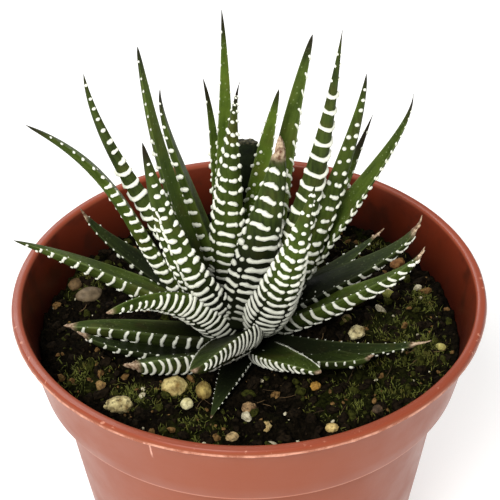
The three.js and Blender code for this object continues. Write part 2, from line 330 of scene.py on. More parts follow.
def potPlastic():
    look = Look("terracotta plastic", 0.44, 0.3)
    x, y, z = look.axes()
    reach = look.math("SQRT", look.plus(look.times(x, x), look.times(y, y)))

    # a share that goes from one value to another between two heights, or between two radii, in mm
    def rising(low, high, *ends):
        return look.span(z, low * mm, high * mm, *ends)

    def outward(low, high, *ends):
        return look.span(reach, low * mm, high * mm, *ends)

    look.coat(look.mix(look.grain(34, 2), "8b4326", "954c2e"))
    look.coat("883e24", look.patches(900, 2, 0.3, 0.7, 0, 0.12))
    # inside, the plastic is painted deeper red and darker towards the soil: painted shade, with damp stains and
    # dirt over it
    between = look.plus(rising(70, 70.4, 0, 3 * mm), rising(70.4, 88, 0, 3.9 * mm),
                          rising(0.5, 69.6, 32.45 * mm, 43.6 * mm))
    wall = look.span(look.math("SUBTRACT", reach, between), 0.0, 0.25 * mm, 1, 0)
    # painted shade: the inner wall goes darker towards the soil, carried on in damp
    damp = look.mix(rising(76, 87), "381208", "6c2814")
    damp = look.mix(look.patches(150, 4, 0.5, 0.66, 0, 0.6), damp, "34180e")
    dirt = look.span(look.grain(750, 3, 0.7), 0.66, 0.7, 0, 0.85)
    damp = look.mix(look.times(dirt, rising(77, 84, 1, 0.25)), damp, "2c2216")
    # the darker inside, painted shade with damp stains and dirt, laid on the inner wall
    look.coat(damp, wall, rising(87.2, 87.7, 1, 0))
    # the lip's darker top, its pale edge (worn flash and a painted highlight), the chips along it and a painted
    # highlight on the collar's bottom edge
    look.coat("963e28", rising(87.3, 87.7), outward(50.0, 50.3), 0.55)
    # the pale outer edge of the lip: partly worn flash, partly a painted highlight
    nicks = look.span(look.grain(240, 5, 0.75), 0.4, 0.6, 0.15, 1)
    look.coat("eeb096", outward(52.2, 52.4), rising(86.9, 87.15, 1, 0), nicks, 0.7)
    chips = look.span(look.grain(520, 3, 0.6), 0.64, 0.68)
    look.coat("e2a086", outward(51.2, 51.8), rising(86.6, 87.4), chips, 0.5)
    # painted highlight: a pale line along the rounded bottom edge of the collar
    look.coat("d68c70", rising(70.3, 69.8), rising(69.3, 69.5), outward(46.5, 46.8), outward(48, 47.6), 0.55)
    # a short upright scuff below the lip
    angle = math.radians(potShape["scuffAt"])
    side = look.plus(look.times(x, -math.sin(angle)), look.times(y, math.cos(angle)))
    side = look.math("ABSOLUTE", look.plus(side, look.patches(500, 2, 0, 1, -0.3 * mm, 0.3 * mm)))
    front = look.plus(look.times(x, math.cos(angle)), look.times(y, math.sin(angle)))
    look.coat("ecb29c", look.span(side, 0.1 * mm, 0.28 * mm, 1, 0), rising(79.8, 81.5),
                rising(86.6, 87, 1, 0), look.span(front, 48 * mm, 49 * mm), 0.7)
    look.rough(look.patches(120, 4, 0.3, 0.7, 0.32, 0.46))
    look.bump(look.grain(600, 3), 0.1, 0.2 * mm)
    return look.material


print("pot")
finishPiece(modelPot(), potPlastic(), slotOf["pot"], "pot")


# The leaves. Each row is name, from, toward, lean at the base, lean at the tip, length, width, up, how it
# is marked, how light it is (partly its own tone, partly painted light and shade), and what isn't usual:
# out to shade as in leafUsual. The tip darkens from dark on and is dried out from dry on, as shares of the
# length, where 1 is nowhere. The near-black base turns green between the two shares in shade.

leafTable = [
    ("centre_left", 185, 276, -4, 12, 67.5, 8.1, 8.1, "waved", 0.35,
     dict(out=5.1, sway=2.5, hook=36, roll=-22, full=1.4, crest=1.2, dark=0.84, shade=(0.1, 0.34))),
    ("centre_dry_tip", 240, 318, 8, 14, 47.5, 11.1, 7, "crossed", 0.15,
     dict(out=4.5, sway=6, bow=8, hook=-25, roll=-24, full=0.6, crest=1.7, crust=2.7, grey=0.25, dry=0.9,
          shade=(0.36, 0.66))),
    ("centre_sliver", 350, 70, 12, 22, 43, 5, 7, "speckled", 1, dict(out=1.5, dark=0.98)),
    ("centre_pale", 0, 65, 3, 32, 53, 6.6, 6, "speckled", 1,
     dict(out=1.5, sway=7, bow=-16, hook=-21, full=0.65, dark=0.95)),
    ("back_tall", 160, 112, 12, 16, 68, 5.1, 6, "beaded", 0.85,
     dict(out=4, sway=-0.5, bow=-14, hook=42, full=0.75, dark=0.91)),
    ("back_right", 20, 64, 11, 33, 63.5, 6, 5, "ticked", 0.4,
     dict(out=4.5, sway=3, bow=-7, hook=-2, full=0.55, spacing=1.05, dark=0.94)),
    ("back_narrow", 140, 128, 17, 8, 53, 4.2, 6, "beaded", 0.5,
     dict(out=3, sway=2.5, bow=-18, hook=45, full=0.65, spacing=0.9, dark=0.88)),
    ("left_tall", 160, 155, 35, 1, 66.5, 5.8, 5, "pearled", 1, dict(bow=-5, hook=11, full=0.55, dark=0.95)),
    ("left_inner", 190, 141, 16, 26, 59.5, 7.3, 6, "stepped", 0.55,
     dict(sway=1, bow=12, hook=-42, roll=38, full=0.75, dark=0.9)),
    ("right_tall", 350, 355, 21, 3, 76, 7.3, 5, "hooped", 0.15,
     dict(sway=1, bow=-3, hook=3, roll=-62, full=0.95, grey=0.2, dark=0.97)),
    ("right_mid", 10, 18, 26, 13, 64.5, 11.1, 5, "columned", 0.4,
     dict(out=4.5, sway=2, bow=-13, hook=-9, roll=-38, full=0.75, lead=-1, dark=0.96)),
    ("left_striped", 205, 181, 32, 20, 76.5, 6.1, 4, "ringed", 0.1,
     dict(sway=-0.5, bow=12, hook=-18, roll=58, full=0.7, grey=0.2, dark=0.98)),
    ("front_left", 200, 216, 40, -2, 60, 8.5, 5.4, "keeled", 0.5,
     dict(out=3.1, sway=4.5, bow=-10, hook=10, roll=35, full=0.7, grey=0.1, dark=0.92, shade=(0.26, 0.5))),
    ("front_right", 300, 295, 38, 9, 58.5, 10.2, 3.8, "combed", 0.75,
     dict(out=2.8, sway=-2, bow=8, hook=5, roll=-24, full=0.9, crest=0.9, grey=0.1, dark=0.98, shade=(0.3, 0.6))),
    ("right_hidden_tip", 20, 37, 44, 29, 49.5, 7, 5, "pearled", 0.5,
     dict(out=5, sway=-0.5, bow=3, hook=1, full=0.95, lead=-1, dark=0.8)),
    ("right_curved", 20, 15, 38, 29, 72, 6.7, 4, "trimmed", 0.4,
     dict(out=4, sway=4.5, bow=-35, arch=-4, hook=-45, roll=10, full=1.05, lead=-1, dark=0.9)),
    ("left_spreading", 170, 158, 58, 76, 79.5, 7.7, 0.8, "fringed", 0.85,
     dict(sway=9, bow=25, arch=-52, hook=-27, roll=40, full=0.6, dark=0.95)),
    ("left_low", 180, 173, 67, 66, 53, 10.6, 3.5, "notched", 0.3,
     dict(sway=-0.5, bow=2, hook=14, roll=22, full=0.75, dark=0.98)),
    ("left_back", 150, 157, 74, 50, 45.5, 7.7, 3, "pearled", 0,
     dict(sway=-5, bow=24, hook=-41, full=0.8, spacing=0.9, grey=0.3, dry=0.92, shade=(0.2, 1.5))),
    ("left_curled", 215, 207, 28, 82, 42.5, 9.4, 2.7, "swathed", 0.9,
     dict(out=6.2, sway=-4.5, bow=34, hook=-1, roll=48, full=0.5, grey=0.1, dry=0.97, shade=(0.1, 0.6))),
    ("left_dry", 200, 187, 82, 81, 37.5, 10.8, 1.6, "upright", 0.1,
     dict(out=4.5, sway=-1.5, bow=-8, hook=22, roll=20, full=0.5, grey=0.1, dry=0.93, shade=(0.1, 0.8))),
    ("left_under", 220, 206, 91, 67, 36, 6.9, 1.2, "notched", 0,
     dict(out=5, turn=-24, sway=0.5, bow=-12, hook=-3, roll=14, full=0.5, grey=0.4, dry=0.93, shade=(0.3, 1.4))),
    ("front_left_dry", 240, 215, 82, 86, 27.5, 12.5, 2, "crescent", 0,
     dict(out=5.6, turn=-16, bow=-7, hook=10, roll=32, full=0.5, spacing=0.8, grey=0.3, dry=0.88,
          shade=(0.1, 0.9))),
    ("front_short", 262, 245, 61, 81, 35.5, 12.5, 5, "fanned", 0,
     dict(out=4.2, sway=1, bow=8, hook=-18, roll=34, full=0.6, grey=0.1, dry=0.97, shade=(0.1, 1))),
    ("front_fallen", 265, 253, 83, 91, 28.5, 6.3, 0.8, "edged", 0,
     dict(out=4, sway=-0.5, bow=2, hook=3, full=0.8, spacing=0.8, grey=0.6, dry=0.98, shade=(0.5, 1.25))),
    ("front_centre", 284, 297, 69, 66, 25.5, 8.8, 1.4, "fanned", 0.1,
     dict(out=6.2, sway=0.5, bow=13, hook=20, roll=-8, full=0.55, lead=-1, spacing=0.9, dry=0.96,
          shade=(0.1, 0.6))),
    ("front_right_low", 310, 320, 79, 69, 31, 9.8, 1, "edged", 0,
     dict(out=5.8, turn=10, bow=-6, hook=-22, roll=-12, full=0.65, lead=-1, grey=0.2, dry=0.94, shade=(0.1, 1.1))),
    ("right_grey", 318, 326, 80, 70, 39, 5.6, 1.2, "edged", 0,
     dict(out=6, turn=24, hook=-4, full=0.65, lead=-1, spacing=1.1, grey=0.6, dry=0.88, shade=(0.1, 1.3))),
    ("right_dry_tip", 340, 354, 62, 59, 47, 10.6, 3.1, "hooked", 0.5,
     dict(out=2, sway=-0.5, bow=-14, hook=-45, roll=-20, full=0.8, lead=-1, dry=0.92, shade=(0.06, 0.5))),
    ("right_upper", 10, 5, 54, 48, 45, 9, 3.5, "hooked", 0,
     dict(sway=8.5, bow=-15, arch=18, hook=-45, roll=-6, full=0.75, lead=-1, spacing=1.05, grey=0.3, dry=0.88,
          shade=(0.2, 1.2))),
    ("right_small", 30, 27, 74, 60, 35, 7, 3, "pearled", 0, dict(lead=-1, grey=0.4, dry=0.9, shade=(0.2, 1.1))),
    ("back_low_left", 120, 118, 70, 60, 38, 8.5, 3, "hooked", 0.3, dict(grey=0.2, dark=0.95)),
    ("back_low", 90, 93, 60, 50, 38, 9, 4, "speckled", 0.4, dict(grey=0.2, dark=0.95)),
    ("back_low_right", 60, 78, 70, 60, 34, 8.5, 3, "hooked", 0.3, dict(lead=-1, grey=0.2, dark=0.95)),
]

leafUsual = dict(out=2.7, turn=0, sway=0, bow=0, arch=0, hook=0, roll=0, full=1, crest=0, crust=None,
                 lead=1, spacing=1, grey=0, dark=1, dry=1, shade=(0.06, 0.4))

leafShape = {
    "soilLevel": 76,
    "arcSteps": 24,
    "taper": [(0, 0.72), (0.1, 0.92), (0.25, 1), (0.45, 0.8), (0.65, 0.5), (0.85, 0.2), (0.95, 0.07), (1, 0)],
    "thickness": 0.44,
    "around": 28,
    "rings": 54,
    "pearlRings": {"bar": 10, "dot": 6},
    "tipWidth": 0.1,
    "dish": (0.06, 0.1),  # hollow of the inner face at the base, and how much it swells toward the tip
    "dryWidth": 0.6,
    "crumple": 0.2,
    "firstSeed": 40,
}

# Rows of tubercles, all in hundredths: share from, share to, gap at each end of that run, half thickness
# at each end, and then the pearls of one row: angle from, angle to, how far ahead each end lies, how far
# its middle hangs back, and how often it is there, if not always. Angles run from -100 at one margin
# over 0 at the keel to 100 at the other margin, and on to 200 in the middle of the inner face.
outerRings = (2, 70, 260, 350, 46, 52, (-86, -6, 60, 0, 10, 95), (2, 86, 0, 60, 10, 95))
trailing = (4, 84, 280, 310, 42, 36, (-6, -92, 0, 40, 10, 95))
innerDots = (10, 92, 220, 260, 22, 18, (134, 142, 0, 0, 0, 80))
markings = {
    "waved": [
        (0, 33, 200, 270, 38, 50, (-105, -34, 120, 10, 10), (-28, 46, 10, 0, 10), (52, 103, 10, 80, 10, 80)),
        (33, 60, 290, 310, 54, 54, (-103, -50, 190, 25, 10, 95), (-46, 2, 30, 0, 15), (8, 58, 15, 0, 12),
         (64, 103, 0, 110, 20, 90)),
        (60, 72, 320, 320, 54, 50, (-100, -16, 150, 0, 10), (10, 26, 0, 0, 0, 90), (60, 95, 10, 50, 0)),
        (72, 88, 300, 260, 42, 30, (-95, -80, 120, 30, 0, 90), (-16, 10, 0, 0, 0), (75, 90, 30, 120, 0, 90)),
    ],
    "crossed": [
        (0, 30, 170, 240, 38, 48, (-103, -56, 160, 40, 10, 95), (-52, 4, 110, 10, 10), (8, 95, 10, 40, 20)),
        (30, 52, 250, 290, 54, 62, (-102, -78, 220, 50, 10), (-72, -60, 20, -20, 0), (-50, 38, 20, 0, 5),
         (46, 95, 0, 130, 20, 95)),
        (52, 86, 300, 300, 62, 56, (-102, -90, 200, 90, 0, 90), (-76, -4, 130, -20, 10), (16, 36, -30, -40, 0),
         (70, 95, -100, 110, 0, 80)),
    ],
    "combed": [
        (0, 40, 200, 260, 42, 54, (-105, -42, 170, 20, 10), (-40, 30, 20, 0, 10, 95), (34, 102, 0, 100, 15)),
        (40, 72, 250, 260, 54, 54, (-103, -56, 170, 50, 10), (-54, 6, 60, -10, 10, 95), (10, 56, 20, -10, 10),
         (58, 102, 0, 120, 20)),
        (72, 94, 260, 240, 52, 36, (-95, -40, 100, 10, 0, 90), (-10, 30, 10, 10, 10, 90),
         (60, 95, 20, 80, 0, 80)),
        (3, 60, 150, 150, 46, 40, (98, 98, -90, 90, 0)),
    ],
    "keeled": [
        (0, 42, 190, 270, 42, 54, (2, 66, 0, -10, 25), (70, 104, 0, 90, 10)),
        (42, 80, 280, 300, 60, 52, (6, 50, 30, -10, 10), (60, 103, 40, 90, 10)),
        (80, 95, 280, 260, 44, 30, (10, 60, 0, 10, 0, 90)),
        (0, 78, 230, 280, 42, 46, (-100, -50, -90, -30, 10, 90), (-40, -10, -20, 0, 0, 80)),
        (4, 72, 170, 170, 34, 28, (0, 0, -90, 90, 0, 95)),
    ],
    "hooped": [
        (0, 50, 260, 360, 46, 54, (-104, 12, 70, -10, 20), (20, 104, -10, 90, 20)),
        (50, 80, 370, 370, 54, 46, (-104, 104, 40, 40, 90)),
        (80, 95, 340, 300, 42, 32, (-100, -66, 40, 10, 0), (60, 100, 0, 50, 0)),
    ],
    "ringed": [
        (0, 34, 240, 320, 44, 54, (-104, 0, 60, 0, 20), (8, 104, 10, 100, 20)),
        (34, 66, 330, 320, 54, 50, (-104, 104, 30, 90, 70)),
        (66, 80, 320, 320, 54, 50, (25, 100, 10, 40, 10)),
        (80, 96, 300, 280, 46, 34, (42, 60, 10, 10, 0)),
    ],
    "columned": [
        (0, 58, 230, 310, 46, 56, (100, 74, 50, 0, 10, 95), (62, 26, 30, 0, 10), (16, -16, 10, 60, 10, 90)),
        (58, 78, 310, 310, 56, 52, (84, 68, 0, 0, 0), (42, 24, 20, 20, 0)),
        (78, 96, 320, 280, 50, 34, (45, 40, 0, 0, 0)),
        (2, 60, 280, 320, 46, 46, (-95, -25, 60, 10, 10, 90)),
    ],
    "stepped": [
        (0, 74, 260, 330, 44, 50, (86, 16, 50, 0, 20)),
        (74, 95, 310, 260, 44, 30, (60, 45, 0, 0, 0, 90)),
        (2, 70, 260, 330, 44, 50, (-90, -4, 40, 0, 10, 90)),
        (20, 90, 480, 480, 34, 30, (6, 0, 0, 0, 0, 90)),
    ],
    "pearled": [
        (6, 95, 260, 310, 46, 34, (92, 114, 0, 30, 0, 95)),
        (10, 92, 320, 440, 36, 28, (-96, -110, 0, 30, 0, 80)),
        outerRings,
    ],
    "beaded": [
        (6, 95, 300, 360, 56, 36, (104, 132, 0, 20, 0, 95)),
        (10, 90, 320, 440, 40, 28, (-100, -120, 0, 30, 0, 80)),
        outerRings,
    ],
    "ticked": [
        (5, 93, 300, 380, 48, 34, (-90, -162, -30, 100, 0)),
        (10, 70, 420, 540, 30, 24, (98, 106, 0, 0, 0, 60)),
        outerRings,
    ],
    "trimmed": [
        (4, 50, 220, 270, 48, 46, (36, 98, 20, -10, 0), (104, 150, 0, 90, 10, 95)),
        (50, 76, 270, 270, 46, 42, (50, 98, 20, -10, 0), (102, 130, 0, 70, 10, 95)),
        (76, 93, 270, 270, 36, 30, (70, 96, 0, 20, 0)),
        (2, 70, 280, 340, 44, 46, (-90, -5, 40, 0, 10, 90), (5, 20, 0, 0, 0, 90)),
    ],
    "fringed": [
        (0, 42, 220, 290, 46, 50, (140, 90, 100, 50, 10), (88, 10, 50, 0, 20)),
        (42, 70, 300, 320, 50, 46, (140, 50, 80, 0, 10)),
        (70, 95, 310, 280, 46, 32, (125, 80, 30, 0, 0)),
        (2, 80, 280, 340, 44, 44, (-92, -8, 40, 0, 10, 95)),
        (10, 80, 340, 380, 28, 22, (160, 162, 0, 0, 0, 70)),
    ],
    "hooked": [
        (5, 95, 270, 300, 42, 34, (112, 36, -10, 70, 30), (34, 14, 80, 210, 10, 95)),
        trailing,
        innerDots,
        (10, 70, 320, 380, 18, 16, (170, 176, 0, 0, 0, 70)),
    ],
    "notched": [
        (5, 95, 270, 300, 40, 34, (106, 42, 0, 40, 10), (40, 20, 50, 110, 0, 90)),
        trailing,
        innerDots,
    ],
    "upright": [
        (6, 90, 260, 310, 44, 36, (100, 30, 20, 50, -20), (28, 10, 60, 190, 10, 95)),
        (4, 84, 280, 310, 40, 36, (0, -92, 0, 40, 10, 95)),
        (10, 90, 220, 260, 20, 18, (110, 114, 0, 0, 0, 90)),
    ],
    "swathed": [
        (2, 50, 160, 210, 40, 46, (103, 0, 80, 0, 30)),
        (50, 68, 210, 210, 44, 40, (86, 6, 60, 0, 20)),
        (68, 95, 210, 220, 40, 28, (64, 20, 30, 0, 10), (12, 0, 0, 50, 0, 80)),
        (2, 86, 190, 220, 40, 34, (-4, -96, 0, 40, 10, 95)),
        (30, 90, 160, 180, 22, 20, (108, 114, 0, 0, 0, 85)),
    ],
    "crescent": [
        (4, 90, 180, 210, 40, 34, (100, 0, 50, 30, 70)),
        (4, 84, 200, 220, 40, 34, (-6, -94, 0, 30, 10, 95)),
        (10, 86, 180, 200, 20, 18, (110, 114, 0, 0, 0, 90)),
    ],
    "fanned": [
        (13, 92, 170, 210, 36, 34, (102, 34, 30, 20, 40)),
        (2, 90, 150, 160, 30, 26, (-100, -102, -80, 80, 0)),
        (4, 84, 200, 220, 38, 32, (20, -30, 30, 0, 10, 60), (-40, -94, 0, 30, 10, 90)),
    ],
    "edged": [
        (5, 90, 200, 220, 34, 28, (100, 66, 30, 0, 0)),
        (8, 90, 190, 220, 26, 20, (-100, -108, 0, 20, 0, 90)),
        (4, 80, 240, 280, 40, 36, (50, 6, 30, 0, 10, 90), (-4, -86, 0, 40, 10, 90)),
    ],
    "speckled": [
        (4, 60, 240, 280, 50, 44, (94, 150, -60, 50, 0, 95), (-94, -150, -60, 50, 0, 90)),
        (10, 76, 220, 260, 54, 44, (160, 182, 0, 20, 0, 95)),
        (16, 50, 240, 260, 42, 36, (216, 230, 0, 10, 0, 80)),
        (60, 92, 260, 260, 50, 32, (100, 134, 0, 30, 0, 95), (-100, -130, 0, 30, 0, 80)),
        outerRings,
    ],
}


class Leaf:
    def __init__(self, row):
        (self.name, start, self.toward, leanBase, leanTip, self.length, self.width, up,
         self.marking, self.light, *unusual) = row
        for key, value in dict(leafUsual, **(unusual[0] if unusual else {})).items():
            setattr(self, key, value)
        self.lean = leanBase, leanTip
        self.sway, self.bow, self.roll = (math.radians(turn) for turn in (self.sway, self.bow, self.roll))
        steps = leafShape["arcSteps"]
        x, y = turned(self.out, 0, math.radians(start))
        knots = [np.array((x, y, leafShape["soilLevel"] + up))]
        for forward in self.directions(np.arange(steps) / steps)[0]:
            knots.append(knots[-1] + forward * self.length / steps)
        self.knots = np.array(knots)

    # which way the leaf runs at a share s of its length, which way it faces, and sideways
    def directions(self, s):
        s = np.asarray(s, dtype=float)
        heading = np.radians(self.toward + self.turn * s)
        lean = np.radians(self.lean[0] + (self.lean[1] - self.lean[0]) * s + self.hook * s ** 4
                          + self.arch * 4 * s * (1 - s))
        outward = np.stack((np.cos(heading), np.sin(heading), np.zeros_like(s)), -1)
        up = np.array((0, 0, 1.0))
        sinLean, cosLean = np.sin(lean)[..., None], np.cos(lean)[..., None]
        forward = outward * sinLean + up * cosLean
        inward = -outward * cosLean + up * sinLean
        sideways = np.cross(inward, forward)
        sway = self.sway + self.bow * s
        sinSway, cosSway = np.sin(sway)[..., None], np.cos(sway)[..., None]
        forward, sideways = (forward * cosSway + sideways * sinSway, sideways * cosSway - forward * sinSway)
        inward, sideways = (inward * math.cos(self.roll) - sideways * math.sin(self.roll),
                            sideways * math.cos(self.roll) + inward * math.sin(self.roll))
        return forward, inward, sideways

    # the middle line, a smooth curve through the knots
    def middle(self, s):
        steps = leafShape["arcSteps"]
        where = np.clip(s, 0, 1) * steps
        i = np.minimum(where.astype(int), steps - 1)
        t = (where - i)[..., None]
        before, here, there, after = (self.knots[np.clip(i + k, 0, steps)] for k in (-1, 0, 1, 2))
        first = np.where((i > 0)[..., None], (there - before) / 2, there - here)
        last = np.where((i < steps - 1)[..., None], (after - here) / 2, there - here)
        return ((2 * t ** 3 - 3 * t ** 2 + 1) * here + (t ** 3 - 2 * t ** 2 + t) * first
                + (3 * t ** 2 - 2 * t ** 3) * there + (t ** 3 - t ** 2) * last)

    def breadth(self, s):
        at, wide = zip(*leafShape["taper"])
        blur = sum(np.interp(s + shift, at, wide) for shift in (-0.04, -0.02, 0, 0.02, 0.04)) / 5
        blur = np.where(s > 0.93, np.interp(s, at, wide), blur)
        wide = self.width * np.maximum(blur, 0) ** self.full
        if self.dry < 1:  # the dried end shrivels, and ends blunt
            shrunk = ease(self.dry - 0.01, self.dry + 0.03, s)
            blunt = np.sqrt(np.clip((1 - s) / (1 - self.dry), 0, 1))
            crust = self.crust or 0.19 * self.width ** 0.7
            wide = wide * (1 - shrunk) + shrunk * np.maximum(leafShape["dryWidth"] * wide, crust * blunt)
        return np.maximum(leafShape["tipWidth"], wide)

    # a point on the skin: s along the leaf, angle round its section in radians, lift off the skin in mm
    def skin(self, s, angle, lift=0.0):
        s = np.asarray(s, dtype=float)
        breadth = self.breadth(s)
        sin, cos = np.sin(angle), np.cos(angle)
        keel = 1.0 + 0.3 * ease(0.2, 0.7, s)
        deep = leafShape["thickness"] * (1 + 0.1 * ease(0.6, 0.9, s))
        hollow, swell = leafShape["dish"]
        dish = hollow - swell * ease(0.35, 0.8, s)
        depth = np.where(sin < 0, -deep * np.abs(sin) ** keel, -dish * sin)
        if self.dry < 1:
            crumple = ease(self.dry - 0.02, self.dry + 0.03, s)
            folds = np.sin(3 * angle + 50 * s) * np.sin(95 * s + 2 * angle + len(self.name))
            lift = lift + leafShape["crumple"] * breadth * crumple * folds
        flat = np.where(sin < 0, deep, 0.14)
        normalX, normalY = cos * flat, sin * 0.5
        size = np.hypot(normalX, normalY) + 1e-9
        inward, sideways = self.directions(s - 0.5 / leafShape["arcSteps"])[1:]
        across = 0.5 * breadth * cos + lift * normalX / size
        inwardBy = breadth * depth + lift * normalY / size
        return self.middle(s) + sideways * across[..., None] + inward * inwardBy[..., None]

    def perAngle(self, s):
        return 0.75 * float(self.breadth(np.array(s)))  # millimetres of skin per unit of angle


def fromHundredths(row):
    return [fromHundredths(n) if isinstance(n, tuple) else n / 100 for n in row]


def modelPearl(rings):
    # poles along X: a bar is this pearl drawn out, a dot is the pearl itself
    bpy.ops.mesh.primitive_uv_sphere_add(segments=6, ring_count=rings, radius=1, rotation=(0, math.pi / 2, 0))
    bakeMove()
    return bpy.context.object


markLuck = {
    "slant": 0.04,
    "shift": 0.1,
    "slip": 0.05,
    "thick": (0.88, 1.14),
    "tall": (0.7, 0.95),
    "marginTall": 1.3,
    "sag": 0.12,
    "start": (0.6, 1),
    "step": (0.93, 1.07),
}


# Each bar is both its ends as (angle, share along), half thickness, height and how far its middle hangs back

def marksFor(leaf, seed):
    luck = random.Random(seed)

    def wobble(key):
        return luck.uniform(-markLuck[key], markLuck[key])

    bars = []
    position, reached = 0, None
    for low, high, lowGap, highGap, lowHalf, highHalf, *pearls in map(fromHundredths, markings[leaf.marking]):
        if low != reached:  # a run that starts where the last one ended keeps its rhythm
            position = leaf.length * low + luck.uniform(*markLuck["start"]) * lowGap
        reached = high
        while position < leaf.length * high:
            t = (position / leaf.length - low) / (high - low)
            gap = leaf.spacing * (lowGap + (highGap - lowGap) * t)
            here = position + gap * wobble("shift")
            for start, end, startAhead, endAhead, sag, *chance in pearls:
                if luck.random() > (chance[0] if chance else 1):
                    continue
                thick = (lowHalf + (highHalf - lowHalf) * t) * luck.uniform(*markLuck["thick"])
                nearer, farther = sorted((abs(start), abs(end)))
                atMargin = nearer > 0.88 and farther < 1.35  # those are a little taller
                tall = thick * luck.uniform(*markLuck["tall"]) * (markLuck["marginTall"] if atMargin else 1)
                start, end = start + wobble("slant"), end + wobble("slant")
                row = here + gap * wobble("slip")
                bars.append((leaf.lead * start, (row + startAhead + wobble("shift")) / leaf.length,
                             leaf.lead * end, (row + endAhead + wobble("shift")) / leaf.length,
                             thick, tall, sag + wobble("sag")))
            position += gap * luck.uniform(*markLuck["step"])
    return bars


def layBars(leaf, pearl, bars, seed):
    # each pearl is drawn out to its bar and laid on the skin, a little sunk in
    shape = coords(pearl.data)
    u, v, w = shape[:, 0], shape[:, 1], shape[:, 2]
    girth = np.maximum(np.hypot(v, w), 1e-9)
    v, w = v / girth, w / girth
    pole = np.abs(u) > 0.999
    luck = random.Random(seed)
    places, along, flat = [], [], []
    for start, sStart, end, sEnd, half, high, sag in bars:
        mid, sMid = 0.5 * (start + end), 0.5 * (sStart + sEnd)
        perAngle = leaf.perAngle(sMid)
        across, ahead = (end - start) * perAngle, (sEnd - sStart) * leaf.length
        length = math.hypot(across, ahead)
        across, ahead = (across / length, ahead / length) if length > 1e-6 else (1, 0)
        length = max(length, 2 * half)
        isLong = length > 3 * half
        waves = [size * np.sin(u * length * pitch + luck.uniform(0, 6))
                 for size, pitch in ((0.16, 1.3), (0.12, 2.9), (1, 0.8))]
        toEnd = (1 - np.abs(u)) * length / 2
        profile = np.where(toEnd < half, np.sqrt(np.maximum(0, 1 - (1 - toEnd / half) ** 2)), 1.0)
        profile = np.where(pole, 0, profile * (1 + isLong * (waves[0] + waves[1])))
        run, off = u * length / 2, v * half * profile + isLong * 0.3 * half * waves[2]
        angle = mid + (run * across - off * ahead) / perAngle
        hang = isLong * sag * (1 - u * u)
        s = sMid + (run * ahead + off * across - hang + leaf.crest * np.cos(angle * math.pi / 2)) / leaf.length
        lift = np.where(w > 0, w * high, w * 0.15) * profile
        places.append(leaf.skin(s, math.pi * 1.5 + angle * math.pi / 2, lift))
        along.append(s)
        flat.append(np.stack((angle * perAngle, s * leaf.length, np.zeros_like(s)), -1))
    return np.concatenate(places), np.concatenate(along), np.concatenate(flat)


def growLeaf(row, seed, blade, pearls, skinMaterial, pearlMaterial):
    leaf = Leaf(row)
    straight = coords(blade.data)
    angle = np.arctan2(straight[:, 1], straight[:, 0])
    s = straight[:, 2] * 0.999
    body = newPiece("leaf_" + leaf.name, leaf.skin(s, angle) * mm, faceList(blade.data))
    bodyFlat = np.stack((angle * leaf.breadth(s) * 0.5, s * leaf.length, 0 * s), -1)
    # edge marks the margins, where a painted highlight goes
    inner, edge = ease(-0.1, 0.15, np.sin(angle)), np.abs(np.cos(angle)) ** 12
    parts = [(body, s, inner, edge, bodyFlat, skinMaterial)]
    bars = marksFor(leaf, seed)
    for size, pearl in pearls.items():
        some = [bar for bar in bars
                if (abs(bar[2] - bar[0]) * leaf.perAngle(bar[1]) > 3 * bar[4]) == (size == "bar")]
        if some:
            places, along, flat = layBars(leaf, pearl, some, seed + 500)
            faces = repeated(faceList(pearl.data), len(some), len(pearl.data.vertices))
            none = np.zeros(len(along))
            piece = newPiece("tubercles_" + size, places * mm, faces)
            parts.append((piece, along, none, none, flat, pearlMaterial))
    for piece, share, inner, edge, flat, material in parts:
        faceOut(piece)
        values = {
            "along": share,
            "inner": inner,
            "edge": edge,
            "light": np.full(len(share), leaf.light),
            "grey": np.full(len(share), leaf.grey),
            "shade": 1 - ease(*leaf.shade, share),
            "dark": ease(leaf.dark - 0.08, leaf.dark + 0.05, share) * (leaf.dark < 1),
            "dry": ease(leaf.dry - 0.02, leaf.dry + 0.02, share) * (leaf.dry < 1),
        }
        for name, value in values.items():
            setPoints(piece.data, name, value)
        setPoints(piece.data, "layout", flat * mm, "FLOAT_VECTOR", "vector")
        piece.data.materials.append(material)
    whole = joined([part[0] for part in parts])
    smooth(whole)
    finishPiece(whole, None, slotOf["leaf_" + leaf.name], "leaf_" + leaf.name)


def leafSkin():
    look = Look("leaf skin", 0.5, 0.06)
    layout = look.value("layout", "Vector")
    light, inner = look.value("light"), look.value("inner")
    cloud = look.patches(210, 3, 0.35, 0.65)
    # outer and inner greens, lighter or darker by each leaf's light: partly its own tone, partly painted light and
    # shade
    outer = [look.mix(light, "21280f", "2e3e10"), look.mix(light, "3a461c", "485a1a")]
    inside = [look.mix(light, "263012", "3e5216"), look.mix(light, "364418", "586c20")]
    look.coat(look.mix(inner, look.mix(cloud, *outer), look.mix(cloud, *inside)))
    streak = look.span(look.grain(1400, 2, 0.5, (1, 0.09, 1), layout), 0.35, 0.65)
    look.coat("687c34", streak, 0.22)
    look.coat("34402a", look.value("grey"), 0.65)
    look.coat("5c5024", look.patches(120, 3, 0.54, 0.68), 0.3)
    pores = look.cells(900, layout)
    look.coat("8e9c68", look.span(pores, 0.1, 0.2, 0.55, 0), inner)
    # painted highlight: pale margins on the inner face, as of light through the leaf edge
    look.coat("96a668", look.value("edge"), inner, 0.5)
    look.coat("0e1009", look.value("shade"), 0.95)
    look.coat("201814", look.value("dark"), 0.92)
    straw = look.mix(look.patches(1100, 4, 0.35, 0.65), "684634", "d6bea0")
    look.coat(straw, look.value("dry"))
    look.rough(look.patches(500, 3, 0.3, 0.7, 0.44, 0.6))
    height = look.plus(look.times(look.span(pores, 0.0, 0.3, 1, 0), 0.6), look.grain(1500, 3))
    look.bump(height, 0.3, 0.2 * mm)
    return look.material


